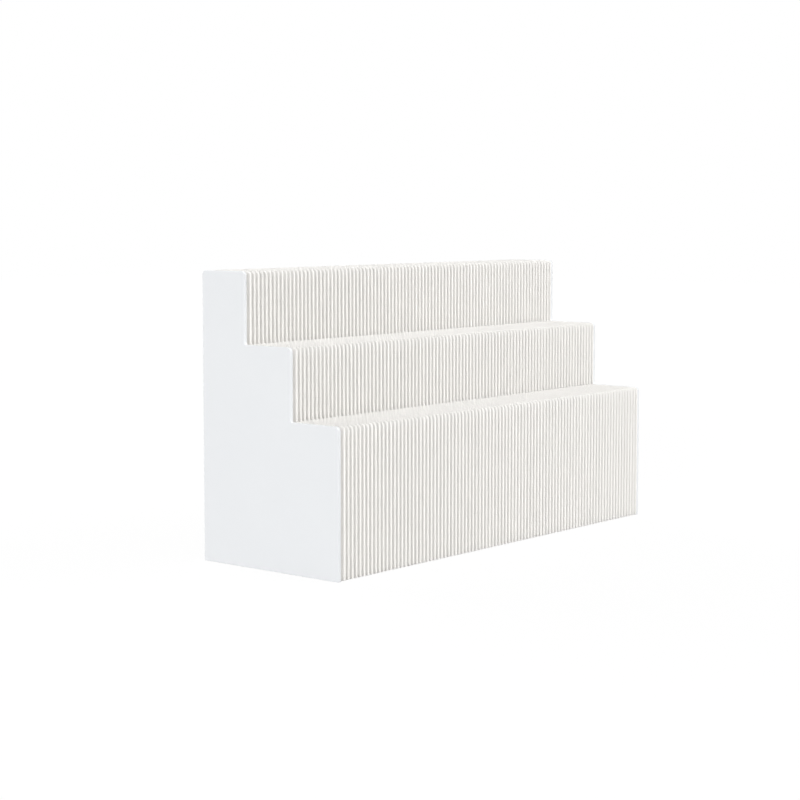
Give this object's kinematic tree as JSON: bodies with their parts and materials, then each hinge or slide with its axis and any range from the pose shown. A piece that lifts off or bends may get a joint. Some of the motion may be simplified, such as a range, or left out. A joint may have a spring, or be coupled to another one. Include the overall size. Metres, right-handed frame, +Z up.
{
  "type": "folding ladder display stand",
  "caption": "Stepped folding display stand: accordion honeycomb paper between rigid end boards, pulled out to show goods on its treads and pushed flat to store.",
  "frame": {"origin": "on the floor, under the middle of the pulled-out stand's bounding box", "axes": "+X along the length, to the right of someone facing the steps; the steps face -Y; +Z up"},
  "size_m": [1, 0.346, 0.56],
  "materials": {
    "board": "matt white painted board",
    "paper": "uncoated white paper"
  },
  "bodies": {
    "left_end_board": {"left_end_board": "board"},
    "right_end_board": {"right_end_board": "board"},
    "pleat_section_01": {"pleat_section_01": "paper"},
    "pleat_section_02": {"pleat_section_02": "paper"},
    "pleat_section_03": {"pleat_section_03": "paper"},
    "pleat_section_04": {"pleat_section_04": "paper"},
    "pleat_section_05": {"pleat_section_05": "paper"},
    "pleat_section_06": {"pleat_section_06": "paper"},
    "pleat_section_07": {"pleat_section_07": "paper"},
    "pleat_section_08": {"pleat_section_08": "paper"},
    "pleat_section_09": {"pleat_section_09": "paper"},
    "pleat_section_10": {"pleat_section_10": "paper"},
    "pleat_section_11": {"pleat_section_11": "paper"},
    "pleat_section_12": {"pleat_section_12": "paper"},
    "pleat_section_13": {"pleat_section_13": "paper"},
    "pleat_section_14": {"pleat_section_14": "paper"},
    "pleat_section_15": {"pleat_section_15": "paper"},
    "pleat_section_16": {"pleat_section_16": "paper"},
    "pleat_section_17": {"pleat_section_17": "paper"},
    "pleat_section_18": {"pleat_section_18": "paper"},
    "pleat_section_19": {"pleat_section_19": "paper"},
    "pleat_section_20": {"pleat_section_20": "paper"},
    "pleat_section_21": {"pleat_section_21": "paper"},
    "pleat_section_22": {"pleat_section_22": "paper"},
    "pleat_section_23": {"pleat_section_23": "paper"},
    "pleat_section_24": {"pleat_section_24": "paper"},
    "pleat_section_25": {"pleat_section_25": "paper"},
    "pleat_section_26": {"pleat_section_26": "paper"},
    "pleat_section_27": {"pleat_section_27": "paper"},
    "pleat_section_28": {"pleat_section_28": "paper"},
    "pleat_section_29": {"pleat_section_29": "paper"},
    "pleat_section_30": {"pleat_section_30": "paper"},
    "pleat_section_31": {"pleat_section_31": "paper"},
    "pleat_section_32": {"pleat_section_32": "paper"},
    "pleat_section_33": {"pleat_section_33": "paper"},
    "pleat_section_34": {"pleat_section_34": "paper"},
    "pleat_section_35": {"pleat_section_35": "paper"},
    "pleat_section_36": {"pleat_section_36": "paper"},
    "pleat_section_37": {"pleat_section_37": "paper"},
    "pleat_section_38": {"pleat_section_38": "paper"},
    "pleat_section_39": {"pleat_section_39": "paper"},
    "pleat_section_40": {"pleat_section_40": "paper"},
    "pleat_section_41": {"pleat_section_41": "paper"},
    "pleat_section_42": {"pleat_section_42": "paper"},
    "pleat_section_43": {"pleat_section_43": "paper"},
    "pleat_section_44": {"pleat_section_44": "paper"},
    "pleat_section_45": {"pleat_section_45": "paper"}
  },
  "joints": [
    {"name": "right_board_slide", "type": "slide", "parent": "left_end_board", "child": "right_end_board", "axis": [1, 0, 0], "range_m": [-0.906, 0], "deforming": ["pleat_section_01", "pleat_section_02", "pleat_section_03", "pleat_section_04", "pleat_section_05", "pleat_section_06", "pleat_section_07", "pleat_section_08", "pleat_section_09", "pleat_section_10", "pleat_section_11", "pleat_section_12", "pleat_section_13", "pleat_section_14", "pleat_section_15", "pleat_section_16", "pleat_section_17", "pleat_section_18", "pleat_section_19", "pleat_section_20", "pleat_section_21", "pleat_section_22", "pleat_section_23", "pleat_section_24", "pleat_section_25", "pleat_section_26", "pleat_section_27", "pleat_section_28", "pleat_section_29", "pleat_section_30", "pleat_section_31", "pleat_section_32", "pleat_section_33", "pleat_section_34", "pleat_section_35", "pleat_section_36", "pleat_section_37", "pleat_section_38", "pleat_section_39", "pleat_section_40", "pleat_section_41", "pleat_section_42", "pleat_section_43", "pleat_section_44", "pleat_section_45"]},
    {"name": "pleat_section_01_slide", "type": "slide", "parent": "left_end_board", "child": "pleat_section_01", "axis": [1, 0, 0], "range_m": [-0.01021, 0]},
    {"name": "pleat_section_02_slide", "type": "slide", "parent": "left_end_board", "child": "pleat_section_02", "axis": [1, 0, 0], "range_m": [-0.03034, 0]},
    {"name": "pleat_section_03_slide", "type": "slide", "parent": "left_end_board", "child": "pleat_section_03", "axis": [1, 0, 0], "range_m": [-0.05047, 0]},
    {"name": "pleat_section_04_slide", "type": "slide", "parent": "left_end_board", "child": "pleat_section_04", "axis": [1, 0, 0], "range_m": [-0.07059, 0]},
    {"name": "pleat_section_05_slide", "type": "slide", "parent": "left_end_board", "child": "pleat_section_05", "axis": [1, 0, 0], "range_m": [-0.09072, 0]},
    {"name": "pleat_section_06_slide", "type": "slide", "parent": "left_end_board", "child": "pleat_section_06", "axis": [1, 0, 0], "range_m": [-0.11085, 0]},
    {"name": "pleat_section_07_slide", "type": "slide", "parent": "left_end_board", "child": "pleat_section_07", "axis": [1, 0, 0], "range_m": [-0.13098, 0]},
    {"name": "pleat_section_08_slide", "type": "slide", "parent": "left_end_board", "child": "pleat_section_08", "axis": [1, 0, 0], "range_m": [-0.1511, 0]},
    {"name": "pleat_section_09_slide", "type": "slide", "parent": "left_end_board", "child": "pleat_section_09", "axis": [1, 0, 0], "range_m": [-0.17123, 0]},
    {"name": "pleat_section_10_slide", "type": "slide", "parent": "left_end_board", "child": "pleat_section_10", "axis": [1, 0, 0], "range_m": [-0.19136, 0]},
    {"name": "pleat_section_11_slide", "type": "slide", "parent": "left_end_board", "child": "pleat_section_11", "axis": [1, 0, 0], "range_m": [-0.21148, 0]},
    {"name": "pleat_section_12_slide", "type": "slide", "parent": "left_end_board", "child": "pleat_section_12", "axis": [1, 0, 0], "range_m": [-0.23161, 0]},
    {"name": "pleat_section_13_slide", "type": "slide", "parent": "left_end_board", "child": "pleat_section_13", "axis": [1, 0, 0], "range_m": [-0.25174, 0]},
    {"name": "pleat_section_14_slide", "type": "slide", "parent": "left_end_board", "child": "pleat_section_14", "axis": [1, 0, 0], "range_m": [-0.27187, 0]},
    {"name": "pleat_section_15_slide", "type": "slide", "parent": "left_end_board", "child": "pleat_section_15", "axis": [1, 0, 0], "range_m": [-0.29199, 0]},
    {"name": "pleat_section_16_slide", "type": "slide", "parent": "left_end_board", "child": "pleat_section_16", "axis": [1, 0, 0], "range_m": [-0.31212, 0]},
    {"name": "pleat_section_17_slide", "type": "slide", "parent": "left_end_board", "child": "pleat_section_17", "axis": [1, 0, 0], "range_m": [-0.33225, 0]},
    {"name": "pleat_section_18_slide", "type": "slide", "parent": "left_end_board", "child": "pleat_section_18", "axis": [1, 0, 0], "range_m": [-0.35237, 0]},
    {"name": "pleat_section_19_slide", "type": "slide", "parent": "left_end_board", "child": "pleat_section_19", "axis": [1, 0, 0], "range_m": [-0.3725, 0]},
    {"name": "pleat_section_20_slide", "type": "slide", "parent": "left_end_board", "child": "pleat_section_20", "axis": [1, 0, 0], "range_m": [-0.39263, 0]},
    {"name": "pleat_section_21_slide", "type": "slide", "parent": "left_end_board", "child": "pleat_section_21", "axis": [1, 0, 0], "range_m": [-0.41276, 0]},
    {"name": "pleat_section_22_slide", "type": "slide", "parent": "left_end_board", "child": "pleat_section_22", "axis": [1, 0, 0], "range_m": [-0.43288, 0]},
    {"name": "pleat_section_23_slide", "type": "slide", "parent": "left_end_board", "child": "pleat_section_23", "axis": [1, 0, 0], "range_m": [-0.45301, 0]},
    {"name": "pleat_section_24_slide", "type": "slide", "parent": "left_end_board", "child": "pleat_section_24", "axis": [1, 0, 0], "range_m": [-0.47314, 0]},
    {"name": "pleat_section_25_slide", "type": "slide", "parent": "left_end_board", "child": "pleat_section_25", "axis": [1, 0, 0], "range_m": [-0.49326, 0]},
    {"name": "pleat_section_26_slide", "type": "slide", "parent": "left_end_board", "child": "pleat_section_26", "axis": [1, 0, 0], "range_m": [-0.51339, 0]},
    {"name": "pleat_section_27_slide", "type": "slide", "parent": "left_end_board", "child": "pleat_section_27", "axis": [1, 0, 0], "range_m": [-0.53352, 0]},
    {"name": "pleat_section_28_slide", "type": "slide", "parent": "left_end_board", "child": "pleat_section_28", "axis": [1, 0, 0], "range_m": [-0.55365, 0]},
    {"name": "pleat_section_29_slide", "type": "slide", "parent": "left_end_board", "child": "pleat_section_29", "axis": [1, 0, 0], "range_m": [-0.57377, 0]},
    {"name": "pleat_section_30_slide", "type": "slide", "parent": "left_end_board", "child": "pleat_section_30", "axis": [1, 0, 0], "range_m": [-0.5939, 0]},
    {"name": "pleat_section_31_slide", "type": "slide", "parent": "left_end_board", "child": "pleat_section_31", "axis": [1, 0, 0], "range_m": [-0.61403, 0]},
    {"name": "pleat_section_32_slide", "type": "slide", "parent": "left_end_board", "child": "pleat_section_32", "axis": [1, 0, 0], "range_m": [-0.63416, 0]},
    {"name": "pleat_section_33_slide", "type": "slide", "parent": "left_end_board", "child": "pleat_section_33", "axis": [1, 0, 0], "range_m": [-0.65428, 0]},
    {"name": "pleat_section_34_slide", "type": "slide", "parent": "left_end_board", "child": "pleat_section_34", "axis": [1, 0, 0], "range_m": [-0.67441, 0]},
    {"name": "pleat_section_35_slide", "type": "slide", "parent": "left_end_board", "child": "pleat_section_35", "axis": [1, 0, 0], "range_m": [-0.69454, 0]},
    {"name": "pleat_section_36_slide", "type": "slide", "parent": "left_end_board", "child": "pleat_section_36", "axis": [1, 0, 0], "range_m": [-0.71466, 0]},
    {"name": "pleat_section_37_slide", "type": "slide", "parent": "left_end_board", "child": "pleat_section_37", "axis": [1, 0, 0], "range_m": [-0.73479, 0]},
    {"name": "pleat_section_38_slide", "type": "slide", "parent": "left_end_board", "child": "pleat_section_38", "axis": [1, 0, 0], "range_m": [-0.75492, 0]},
    {"name": "pleat_section_39_slide", "type": "slide", "parent": "left_end_board", "child": "pleat_section_39", "axis": [1, 0, 0], "range_m": [-0.77504, 0]},
    {"name": "pleat_section_40_slide", "type": "slide", "parent": "left_end_board", "child": "pleat_section_40", "axis": [1, 0, 0], "range_m": [-0.79517, 0]},
    {"name": "pleat_section_41_slide", "type": "slide", "parent": "left_end_board", "child": "pleat_section_41", "axis": [1, 0, 0], "range_m": [-0.8153, 0]},
    {"name": "pleat_section_42_slide", "type": "slide", "parent": "left_end_board", "child": "pleat_section_42", "axis": [1, 0, 0], "range_m": [-0.83543, 0]},
    {"name": "pleat_section_43_slide", "type": "slide", "parent": "left_end_board", "child": "pleat_section_43", "axis": [1, 0, 0], "range_m": [-0.85555, 0]},
    {"name": "pleat_section_44_slide", "type": "slide", "parent": "left_end_board", "child": "pleat_section_44", "axis": [1, 0, 0], "range_m": [-0.87568, 0]},
    {"name": "pleat_section_45_slide", "type": "slide", "parent": "left_end_board", "child": "pleat_section_45", "axis": [1, 0, 0], "range_m": [-0.89581, 0]}
  ],
  "couplings": [
    {"joint": "pleat_section_01_slide", "follows": "right_board_slide", "ratio": 0.01126},
    {"joint": "pleat_section_02_slide", "follows": "right_board_slide", "ratio": 0.033475},
    {"joint": "pleat_section_03_slide", "follows": "right_board_slide", "ratio": 0.055691},
    {"joint": "pleat_section_04_slide", "follows": "right_board_slide", "ratio": 0.077906},
    {"joint": "pleat_section_05_slide", "follows": "right_board_slide", "ratio": 0.10012},
    {"joint": "pleat_section_06_slide", "follows": "right_board_slide", "ratio": 0.12234},
    {"joint": "pleat_section_07_slide", "follows": "right_board_slide", "ratio": 0.14455},
    {"joint": "pleat_section_08_slide", "follows": "right_board_slide", "ratio": 0.16677},
    {"joint": "pleat_section_09_slide", "follows": "right_board_slide", "ratio": 0.18898},
    {"joint": "pleat_section_10_slide", "follows": "right_board_slide", "ratio": 0.2112},
    {"joint": "pleat_section_11_slide", "follows": "right_board_slide", "ratio": 0.23341},
    {"joint": "pleat_section_12_slide", "follows": "right_board_slide", "ratio": 0.25563},
    {"joint": "pleat_section_13_slide", "follows": "right_board_slide", "ratio": 0.27785},
    {"joint": "pleat_section_14_slide", "follows": "right_board_slide", "ratio": 0.30006},
    {"joint": "pleat_section_15_slide", "follows": "right_board_slide", "ratio": 0.32228},
    {"joint": "pleat_section_16_slide", "follows": "right_board_slide", "ratio": 0.34449},
    {"joint": "pleat_section_17_slide", "follows": "right_board_slide", "ratio": 0.36671},
    {"joint": "pleat_section_18_slide", "follows": "right_board_slide", "ratio": 0.38892},
    {"joint": "pleat_section_19_slide", "follows": "right_board_slide", "ratio": 0.41114},
    {"joint": "pleat_section_20_slide", "follows": "right_board_slide", "ratio": 0.43335},
    {"joint": "pleat_section_21_slide", "follows": "right_board_slide", "ratio": 0.45557},
    {"joint": "pleat_section_22_slide", "follows": "right_board_slide", "ratio": 0.47779},
    {"joint": "pleat_section_23_slide", "follows": "right_board_slide", "ratio": 0.5},
    {"joint": "pleat_section_24_slide", "follows": "right_board_slide", "ratio": 0.52221},
    {"joint": "pleat_section_25_slide", "follows": "right_board_slide", "ratio": 0.54443},
    {"joint": "pleat_section_26_slide", "follows": "right_board_slide", "ratio": 0.56665},
    {"joint": "pleat_section_27_slide", "follows": "right_board_slide", "ratio": 0.58886},
    {"joint": "pleat_section_28_slide", "follows": "right_board_slide", "ratio": 0.61108},
    {"joint": "pleat_section_29_slide", "follows": "right_board_slide", "ratio": 0.63329},
    {"joint": "pleat_section_30_slide", "follows": "right_board_slide", "ratio": 0.65551},
    {"joint": "pleat_section_31_slide", "follows": "right_board_slide", "ratio": 0.67772},
    {"joint": "pleat_section_32_slide", "follows": "right_board_slide", "ratio": 0.69994},
    {"joint": "pleat_section_33_slide", "follows": "right_board_slide", "ratio": 0.72215},
    {"joint": "pleat_section_34_slide", "follows": "right_board_slide", "ratio": 0.74437},
    {"joint": "pleat_section_35_slide", "follows": "right_board_slide", "ratio": 0.76659},
    {"joint": "pleat_section_36_slide", "follows": "right_board_slide", "ratio": 0.7888},
    {"joint": "pleat_section_37_slide", "follows": "right_board_slide", "ratio": 0.81102},
    {"joint": "pleat_section_38_slide", "follows": "right_board_slide", "ratio": 0.83323},
    {"joint": "pleat_section_39_slide", "follows": "right_board_slide", "ratio": 0.85545},
    {"joint": "pleat_section_40_slide", "follows": "right_board_slide", "ratio": 0.87766},
    {"joint": "pleat_section_41_slide", "follows": "right_board_slide", "ratio": 0.89988},
    {"joint": "pleat_section_42_slide", "follows": "right_board_slide", "ratio": 0.92209},
    {"joint": "pleat_section_43_slide", "follows": "right_board_slide", "ratio": 0.94431},
    {"joint": "pleat_section_44_slide", "follows": "right_board_slide", "ratio": 0.96652},
    {"joint": "pleat_section_45_slide", "follows": "right_board_slide", "ratio": 0.98874}
  ]
}
